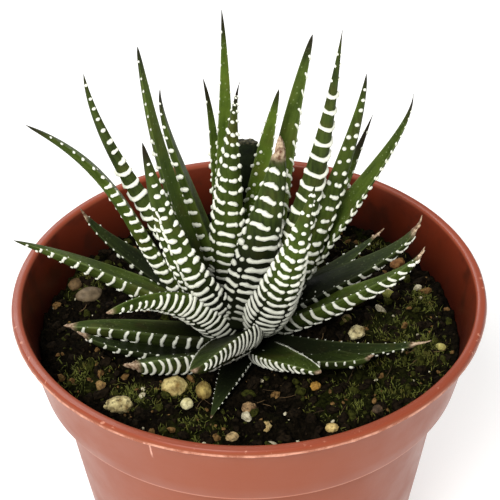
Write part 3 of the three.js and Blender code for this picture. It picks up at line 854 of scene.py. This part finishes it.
def pearlWhite():
    look = Look("pearl white", 0.5, 0.3)
    look.coat(look.mix(look.grain(900, 3), "eceed6", "fcfdf4"))
    # painted shade: the tubercles go grey towards the leaf base, and darker again where the leaf base is shaded
    look.coat("54564a", look.span(look.value("along"), 0.03, 0.24, 0.92, 0))
    look.coat("5a5c50", look.value("shade"), 0.35)
    look.coat("ceb496", look.value("dry"))
    look.bump(look.grain(2400, 2), 0.2, 0.1 * mm)
    return look.material


print("leaves")
blade = shaft(leafShape["around"], leafShape["rings"])
editDone(outward=True)
pearls = {size: modelPearl(rings) for size, rings in leafShape["pearlRings"].items()}
skinMaterial, pearlMaterial = leafSkin(), pearlWhite()
for seed, row in enumerate(leafTable, leafShape["firstSeed"]):
    growLeaf(row, seed, blade, pearls, skinMaterial, pearlMaterial)
for spent in (blade, *pearls.values()):
    bpy.data.objects.remove(spent)


# The cut stub in the heart of the rosette, and the stem

stubShape = {
    "from": 90,
    "toward": 90,
    "out": 3.6,
    "up": 6,
    "lean": (6, 12),
    "length": 39,
    "width": 5,
    "around": 20,
    "rings": 30,
    "cutRings": (0.92, 0.85, 0.7, 0.6, 0.5),
}


def modelStub():
    shape = stubShape
    stub = shaft(shape["around"], shape["rings"])
    stub.name = "cut_stub_flesh"
    for shrink in shape["cutRings"]:  # the cut face, ring inside ring
        bpy.ops.mesh.inset(thickness=0.1)
        bpy.ops.transform.resize(value=(shrink, shrink, 1), center_override=(0, 0, 1))
    editDone()
    straight = coords(stub.data)
    width = shape["width"]
    x, y = turned(shape["out"], 0, math.radians(shape["from"]))
    base = np.array((x, y, leafShape["soilLevel"] + shape["up"]))
    outward = np.array((*turned(1, 0, math.radians(shape["toward"])), 0))
    low, high = (math.radians(lean) for lean in shape["lean"])
    cut = []
    for x, y, s in straight:
        lean = low + (high - low) * s
        bow = (low + lean) / 2
        forward = outward * math.sin(bow) + np.array((0, 0, math.cos(bow)))
        inward = -outward * math.cos(lean) + np.array((0, 0, math.sin(lean)))
        sideways = np.cross(inward, forward)
        deep = (leafShape["thickness"] if y < 0 else 0.1) * width
        ragged = 0
        if s > 0.999:  # the cut face is torn
            ragged = 0.5 * hills(x * 2.4, y * 2.4, 0, 1, 3) + 0.45 * hills(x * 8, y * 8, 0, 1, 6)
        lump = 0.12 * hills(x * 3, y * 3, s * 12, 1, 7)
        cut.append(base + forward * (shape["length"] * s + ragged) + sideways * x * (0.5 * width + lump)
                   + inward * y * (deep + lump))
    setCoords(stub.data, np.array(cut) * mm)
    setPoints(stub.data, "along", straight[:, 2])
    faceOut(stub)
    bpy.ops.object.shade_smooth_by_angle(angle=math.radians(50))
    return stub


def stubFlesh():
    look = Look("blackened flesh", 0.6, 0.2)
    along = look.value("along")
    look.coat(look.mix(look.patches(300, 4, 0.3, 0.7), "0e1409", "222c12"))
    look.coat("080906", look.span(along, 0.2, 0.8, 0.8, 0))
    torn = look.mix(look.patches(1500, 4, 0.4, 0.6), "10110a", "605a44")
    look.coat(torn, look.span(along, 0.985, 0.999), look.patches(700, 3, 0.4, 0.55, 0.35, 1))
    look.bump(look.grain(1100, 4), 0.5, 0.4 * mm)
    return look.material


def stemBark():
    look = Look("stem bark", 0.8, 0.2)
    rings = look.grain(600, 4, 0.6, (0.4, 0.4, 3))
    look.coat(look.mix(rings, "261e14", "5c4e32"))
    look.bump(rings, 0.6, 0.5 * mm)
    return look.material


print("stub and stem")
finishPiece(modelStub(), stubFlesh(), slotOf["cut_stub"], "cut_stub")
for slot in bpy.data.objects["stem"].material_slots:
    slot.material = stemBark()


# Soil

soilShape = {
    "edge": 47.0,
    "level": 76,
    "mound": 1.2,
    "moundEdge": 44.2,
    "grid": 190,
    "skirt": [(45.6, 72.4), (42.2, 69), (31.3, 2.2)],  # radius and height of each ring, going down
    "lumps": [(1.1, 6.5, 3), (1.5, 2.6, 5), (0.8, 1.1, 9)],  # height, size and seed
    "sunk": 0.25,
    "deepest": 2.2,
    "underLeaf": 0.15,
    "lowestLeaf": 84,
    "stemClear": 7,
    "noLeaf": 99,
}

# Moss patches: x, y, radius
mossPatches = [
    (33, 0, 9), (40, -8, 7), (20, -23, 11), (32, -21, 9), (28, -11, 7), (31, 32, 9), (39, 9, 6), (-36, -15, 7),
    (-25, -22, 6), (-11, -33, 8), (-15, -19, 5), (-38, 20, 7), (-4, 36, 9), (12, 30, 6), (36, -8, 6),
]


def soilHeight(x, y):
    reach = math.hypot(x, y) / soilShape["moundEdge"]
    mound = soilShape["mound"] * max(0, 1 - reach * reach)
    ripple = 0.5 * (math.sin(0.21 * x + 1) + math.sin(0.27 * y + 0.13 * x)) / 2
    return soilShape["level"] + mound + ripple


def lowLeafPoints():
    s = np.linspace(0.04, 0.98, 48)
    points = np.concatenate([leaf.skin(s, np.full_like(s, angle)) for leaf in map(Leaf, leafTable)
                             for angle in np.linspace(math.pi, fullTurn, 9)])
    return points[points[:, 2] < soilShape["lowestLeaf"]]


# how low the leaves come down over a place
def underside(x, y, reach):
    near = lowPoints[np.hypot(lowPoints[:, 0] - x, lowPoints[:, 1] - y) < reach]
    return near[:, 2].min() if len(near) else soilShape["noLeaf"]


def soilRelief(x, y):
    shape = soilShape
    lumps = sum(high * hills(x, y, 0, size, seed) for high, size, seed in shape["lumps"])
    top = soilHeight(x, y) + lumps - shape["sunk"]
    return min(top, max(underside(x, y, 1.3) - shape["underLeaf"], soilHeight(x, y) - shape["deepest"]))


def modelSoil():
    grid, edge = soilShape["grid"], soilShape["edge"]
    bpy.ops.mesh.primitive_grid_add(x_subdivisions=grid, y_subdivisions=grid, size=2)
    soil = bpy.context.object
    soil.name = "soil_plug"
    places = coords(soil.data)
    x, y = places[:, 0].copy(), places[:, 1].copy()
    places[:, 0] = x * np.sqrt(1 - y * y / 2) * edge  # the square grid is drawn in to a disc
    places[:, 1] = y * np.sqrt(1 - x * x / 2) * edge
    for place in places:
        place[2] = soilRelief(place[0], place[1])
    setCoords(soil.data, places * mm)
    pickOnly(soil)
    editAll()
    bpy.ops.mesh.region_to_loop()
    before = edge
    for radius, height in soilShape["skirt"]:
        scale = radius / before
        bpy.ops.mesh.extrude_region_move()
        bpy.ops.transform.resize(value=(scale, scale, 0), center_override=(0, 0, height * mm))
        before = radius
    bpy.ops.mesh.fill()
    editDone(outward=True)
    mossy = [max(0.0, *(1 - math.hypot(x - mx, y - my) / radius for mx, my, radius in mossPatches))
             for x, y, z in coords(soil.data) / mm]
    setPoints(soil.data, "mossy", mossy)
    smooth(soil)
    return soil


def soilFinish():
    look = Look("potting soil", 0.95, 0.04)
    fine = look.patches(1400, 4, 0.32, 0.68)
    look.coat(look.mix(fine, "010100", "161109"))
    damp = look.span(look.plus(look.value("mossy"), look.patches(160, 4, 0, 1, -0.5, 0.5)), 0.1, 0.5)
    look.coat(look.mix(fine, "040501", "26290c"), damp)
    look.coat("806842", look.span(look.cells(520), 0.1, 0.16, 0.5, 0), look.patches(90, 2, 0.5, 0.6))
    look.bump(look.grain(1900, 5), 0.8, 0.6 * mm)
    return look.material


print("soil")
lowPoints = lowLeafPoints()
finishPiece(modelSoil(), soilFinish(), slotOf["soil"], "soil")


# Stones on the soil: x, y, length, breadth, turn, two colours, how rough they are
stoneTable = [
    (-37, 13.5, 7, 4, 25, "544632", "847258", 0.1),
    (-40.5, 18, 3.4, 3, 40, "4a3822", "745c3a", 0.5),
    (-16.5, -20, 5.6, 4.9, 10, "7c622e", "dac886", 0.6),
    (-10, -21.5, 3.4, 4.6, 0, "644e22", "c0aa60", 0.6),
    (-13.6, -25.2, 2.8, 2.8, 0, "cec48c", "f0eabe", 0.5),
    (-28, -26, 6, 4, 15, "6c562a", "ded096", 1.0),
    (-32.5, -18.5, 2.8, 2.3, 60, "6e522e", "b08e54", 0.8),
    (-0.5, -27, 3.2, 2.6, 20, "684c32", "be9c6e", 1.0),
    (-4, -36, 2.8, 2.3, 0, "846840", "ceb480", 0.8),
    (24, -3, 4, 3.4, 30, "8c7a4c", "e8dcaa", 1.0),
    (22, 2.5, 2.8, 2.3, 70, "544626", "8c7a48", 0.8),
    (11, -10, 3.2, 2.8, 0, "808e42", "c8d082", 0.3),
    (14, -20.5, 2.4, 2.2, 45, "8a6022", "cea048", 0.8),
    (32, 11, 2.8, 2.3, 0, "5c6022", "969642", 0.5),
    (35, 23.5, 4, 2.6, 35, "82562e", "c8965c", 0.8),
    (3, -33, 2.8, 2.4, 80, "8c703e", "e0c88a", 1.0),
    (17, -33, 2.8, 2.3, 10, "96783e", "e4c882", 0.8),
    (42.5, -7, 2.4, 2.2, 0, "968c46", "d0c878", 0.4),
    (27, -28, 2.6, 2.2, 50, "403224", "6e563c", 0.8),
]
stoneShape = {"tall": 0.8, "sunk": 0.22, "levels": 4}


def modelLump(levels):
    bpy.ops.mesh.primitive_ico_sphere_add(subdivisions=levels, radius=1)
    return bpy.context.object


def modelStone(number, row):
    x, y, length, breadth, turn, dark, bright, rough = row
    tall = stoneShape["tall"] * breadth
    stone = modelLump(stoneShape["levels"])
    stone.name = f"pebble_{number:02d}"
    places = coords(stone.data)
    for place in places:
        a, b, c = place
        swell = 1 + 0.16 * hills(a, b, c, 1.3, number)
        swell += rough * (0.2 * hills(a, b, c, 0.55, number) + 0.12 * hills(a, b, c, 0.22, number))
        a, b = turned(a * swell * length / 2, b * swell * breadth / 2, math.radians(turn))
        place[:] = x + a, y + b, soilHeight(x, y) + stoneShape["sunk"] * tall + c * swell * tall / 2
    setCoords(stone.data, places * mm)
    smooth(stone)
    look = Look(f"pebble {number:02d}", 0.6 + 0.25 * min(rough, 1), 0.3)
    look.coat(look.mix(look.span(look.grain(420, 4, 0.6), 0.35, 0.65), dark, bright))
    look.coat("221a0e", look.patches(1300, 4, 0.36, 0.5, 0.7 * rough, 0))
    look.bump(look.grain(1500, 4), 0.2 + 0.5 * rough, 0.4 * mm)
    return stone, look.material


print("stones")
for number, row in enumerate(stoneTable, 1):
    stone, material = modelStone(number, row)
    node = f"stone_{number:02d}"
    finishPiece(stone, material, slotOf[node], node)


# What lies scattered on the soil

crumbShape = {  # the shares are of dark, olive, tan and pale ones
    "fine": {"count": 1700, "size": (0.25, 0.62), "shares": (0.62, 0.24, 0.11, 0.03), "reach": 46, "levels": 1,
             "seed": 11},
    "coarse": {"count": 620, "size": (0.6, 1.5), "shares": (0.7, 0.2, 0.08, 0.02), "reach": 46, "levels": 2,
               "seed": 12},
}
mossShape = {
    "count": 3200,
    "spread": 0.45,
    "edge": 45.5,
    "tall": (0.7, 1.9),
    "thick": (0.9, 1.6),
    "lean": (-0.2, 1.1),
    "bend": 0.35,
    "seed": 21,
}
fibreShape = {
    "count": 70,
    "reach": 44,
    "edge": 46.5,
    "length": (0.8, 2.6),
    "thick": (0.05, 0.11),
    "bend": 0.25,
    "rise": 0.7,
    "seed": 31,
}


def onSoil(luck, reach):
    reach, angle = reach * math.sqrt(luck.random()), luck.uniform(0, fullTurn)
    return turned(reach, 0, angle)


def clearOfLeaves(x, y, tall):
    if math.hypot(x, y) < soilShape["stemClear"]:
        return False
    return underside(x, y, tall + 0.9) > soilHeight(x, y) + 1.6 * tall


# Copies of one model: lay gives the points and the tone of each copy, or nothing where it can't lie
def scatter(name, model, setting, lay):
    luck = random.Random(setting["seed"])
    shape = coords(model.data)
    places, tones = [], []
    while len(places) < setting["count"]:
        laid = lay(luck, shape, setting, len(places))
        if laid:
            places.append(laid[0])
            tones.append(np.zeros(len(shape)) + laid[1])
    faces = repeated(faceList(model.data), len(places), len(shape))
    piece = newPiece(name, np.concatenate(places) * mm, faces)
    setPoints(piece.data, "tone", np.concatenate(tones))
    bpy.data.objects.remove(model)
    return piece


def layCrumb(luck, shape, setting, number):
    x, y = onSoil(luck, setting["reach"])
    size = luck.uniform(*setting["size"]) * luck.uniform(0.8, 1)
    if not clearOfLeaves(x, y, size):
        return None
    swell = np.array([1 + 0.55 * hills(a, b, c, 0.9, number * 0.37) for a, b, c in shape])
    stretch = np.array((luck.uniform(0.8, 1.4), luck.uniform(0.7, 1.1), luck.uniform(0.5, 0.9)))
    bits = (shape * swell[:, None] * stretch * size) @ anyTurn(luck).T
    tone = np.searchsorted(np.cumsum(setting["shares"])[:-1], luck.random(), side="right")
    return bits + (x, y, soilRelief(x, y) + 0.2 * size), tone + luck.uniform(-0.35, 0.35)


def crumbFinish():
    look = Look("crumbs", 0.9, 0.06)
    tone, fine = look.value("tone"), look.patches(1500, 4, 0.3, 0.7)
    look.coat(look.mix(fine, "040302", "241c11"))
    lighter = [("101205", "424418"), ("3a2614", "8c6c40"), ("968c70", "e0d8ba")]
    for step, colors in enumerate(lighter):
        look.coat(look.mix(fine, *colors), look.span(tone, step + 0.4, step + 0.6))
    look.bump(look.grain(2000, 3), 0.6, 0.3 * mm)
    return look.material


def modelLeaflet():
    # a three-sided spike, later bent
    bpy.ops.mesh.primitive_cone_add(vertices=3, radius1=0.16, radius2=0, depth=1, location=(0, 0, 0.5))
    bakeMove()
    editAll()
    bpy.ops.mesh.subdivide(number_cuts=1)
    bpy.ops.mesh.tris_convert_to_quads()
    editDone()
    return bpy.context.object


def layLeaflet(luck, shape, setting, number):
    mx, my, radius = luck.choice(mossPatches)
    x, y = (middle + luck.gauss(0, setting["spread"]) * radius for middle in (mx, my))
    if math.hypot(x, y) > setting["edge"] or hills(x, y, 0, 3, 7) < -0.12:
        return None
    tall = luck.uniform(*setting["tall"])
    if not clearOfLeaves(x, y, 0.6 * tall):
        return None
    turn = Matrix.Rotation(luck.uniform(0, 6.28), 3, "Z")
    turn = np.array(turn @ Matrix.Rotation(luck.uniform(*setting["lean"]), 3, "Y"))
    bent = shape + np.outer(setting["bend"] * shape[:, 2] ** 2, (1, 0, 0))
    bits = (bent * (luck.uniform(*setting["thick"]), luck.uniform(*setting["thick"]), tall)) @ turn.T
    return bits + (x, y, soilRelief(x, y) - 0.15), np.clip(shape[:, 2], 0, 1) * 0.6 + luck.uniform(0, 0.5)


def mossFinish():
    look = Look("moss", 0.7, 0.2)
    look.coat(look.mix(look.span(look.value("tone"), 0.1, 1.0), "1a1e0a", "7e8438"))
    look.coat("604c1e", look.patches(260, 3, 0.5, 0.65, 0, 0.5))
    look.bump(look.grain(2000, 2), 0.3, 0.1 * mm)
    return look.material


def modelFibre():
    # a thin four-sided strand, cut into lengths so that it can bend
    bpy.ops.mesh.primitive_cylinder_add(vertices=4, radius=1, depth=2)
    strand = bpy.context.object
    editAll()
    bpy.ops.mesh.select_all(action="DESELECT")
    editDone()
    for edge in strand.data.edges:
        bottom, top = (strand.data.vertices[v].co.z for v in edge.vertices)
        edge.select = abs(bottom - top) > 1
    bpy.ops.object.mode_set(mode="EDIT")
    bpy.ops.mesh.subdivide(number_cuts=5)
    editDone()
    return strand


def layFibre(luck, shape, setting, number):
    x, y = onSoil(luck, setting["reach"])
    if not clearOfLeaves(x, y, 0.8):
        return None
    length, thick = luck.uniform(*setting["length"]), luck.uniform(*setting["thick"])
    bend = luck.uniform(-setting["bend"], setting["bend"]) * length
    rise, angle = luck.uniform(0, setting["rise"]), luck.uniform(0, 6.28)
    u = shape[:, 2]
    girth = thick * (1.2 - 0.5 * np.abs(u))
    px, py = turned(u * length, bend * u * u + shape[:, 0] * girth, angle)
    px, py = x + px, y + py
    if np.hypot(px, py).max() >= setting["edge"]:
        return None
    up = shape[:, 1] * girth + rise * u + 0.35
    return np.stack((px, py, soilHeight(x, y) + up), -1), luck.random()


def fibreFinish():
    look = Look("fibre", 0.8, 0.2)
    look.coat(look.mix(look.value("tone"), "281c10", "8c704a"))
    look.coat("281e14", look.grain(900, 3))
    look.bump(look.grain(2200, 2), 0.3, 0.1 * mm)
    return look.material


print("crumbs, moss and fibres")
crumbMaterial = crumbFinish()
for kind, setting in crumbShape.items():
    crumbs = scatter("soil_crumbs_" + kind, modelLump(setting["levels"]), setting, layCrumb)
    finishPiece(crumbs, crumbMaterial, slotOf["soil"])
for name, model, setting, lay, material in (("moss", modelLeaflet(), mossShape, layLeaflet, mossFinish()),
                                            ("fibres", modelFibre(), fibreShape, layFibre, fibreFinish())):
    piece = scatter(name, model, setting, lay)
    faceOut(piece)
    smooth(piece)
    finishPiece(piece, material, slotOf["soil"])


# Floor, light and camera

lightSet = {
    "world": 0.44,
    "front": {"place": (-0.45, -1.1, 1.25), "size": 0.7, "power": 25, "color": (1, 0.99, 0.97)},
    "back": {"place": (-0.4, 1.0, 1.0), "size": 0.6, "power": 8, "color": (1, 1, 1)},
}

cameraSet = {
    "place": (0.41, -314.34, 333.53),
    "aim": (0.41, 0, 98.84),
    "roll": -0.955,
    "lens": 129.6,
}


def plainFloor():
    bpy.ops.mesh.primitive_plane_add(size=4)
    floor = bpy.context.object
    floor.name = "floor"
    look = Look("pale floor", 0.8, 0.2)
    look.coat(look.mix(look.grain(3, 2), (0.86, 0.86, 0.855, 1), (0.88, 0.88, 0.875, 1)))
    look.shader.inputs["Emission Color"].default_value = (1, 0.995, 0.98, 1)
    look.shader.inputs["Emission Strength"].default_value = 0.3
    floor.data.materials.append(look.material)


def softLight(name):
    setting = lightSet[name]
    lamp = bpy.data.lights.new(name, "AREA")
    lamp.shape = "DISK"
    lamp.size = setting["size"]
    lamp.energy = setting["power"]
    lamp.color = setting["color"]
    holder = bpy.data.objects.new(name, lamp)
    bpy.context.scene.collection.objects.link(holder)
    holder.location = setting["place"]
    holder.rotation_euler = (Vector((0, 0, 0.09)) - holder.location).to_track_quat("-Z", "Y").to_euler()


def whiteStudio():
    # the backdrop is pure white, while the light it gives is gentler
    world = bpy.data.worlds.new("studio")
    world.use_nodes = True
    nodes, links = world.node_tree.nodes, world.node_tree.links
    background = nodes["Background"]
    background.inputs["Color"].default_value = (1, 1, 1, 1)
    strength = nodes.new("ShaderNodeMapRange")
    strength.inputs["To Min"].default_value = lightSet["world"]
    strength.inputs["To Max"].default_value = 1.0
    links.new(nodes.new("ShaderNodeLightPath").outputs["Is Camera Ray"], strength.inputs["Value"])
    links.new(strength.outputs["Result"], background.inputs["Strength"])
    bpy.context.scene.world = world
    bpy.context.scene.view_settings.view_transform = "Standard"


def addCamera():
    data = bpy.data.cameras.new("camera")
    data.lens = cameraSet["lens"]
    data.sensor_width = 36
    data.clip_start = 0.01
    camera = bpy.data.objects.new("camera", data)
    bpy.context.scene.collection.objects.link(camera)
    place, aim = Vector(cameraSet["place"]) * mm, Vector(cameraSet["aim"]) * mm
    camera.location = place
    turn = (aim - place).to_track_quat("-Z", "Y").to_matrix().to_4x4()
    camera.rotation_euler = (turn @ Matrix.Rotation(math.radians(cameraSet["roll"]), 4, "Z")).to_euler()
    bpy.context.scene.camera = camera


print("stage")
plainFloor()
softLight("front")
softLight("back")
whiteStudio()
addCamera()
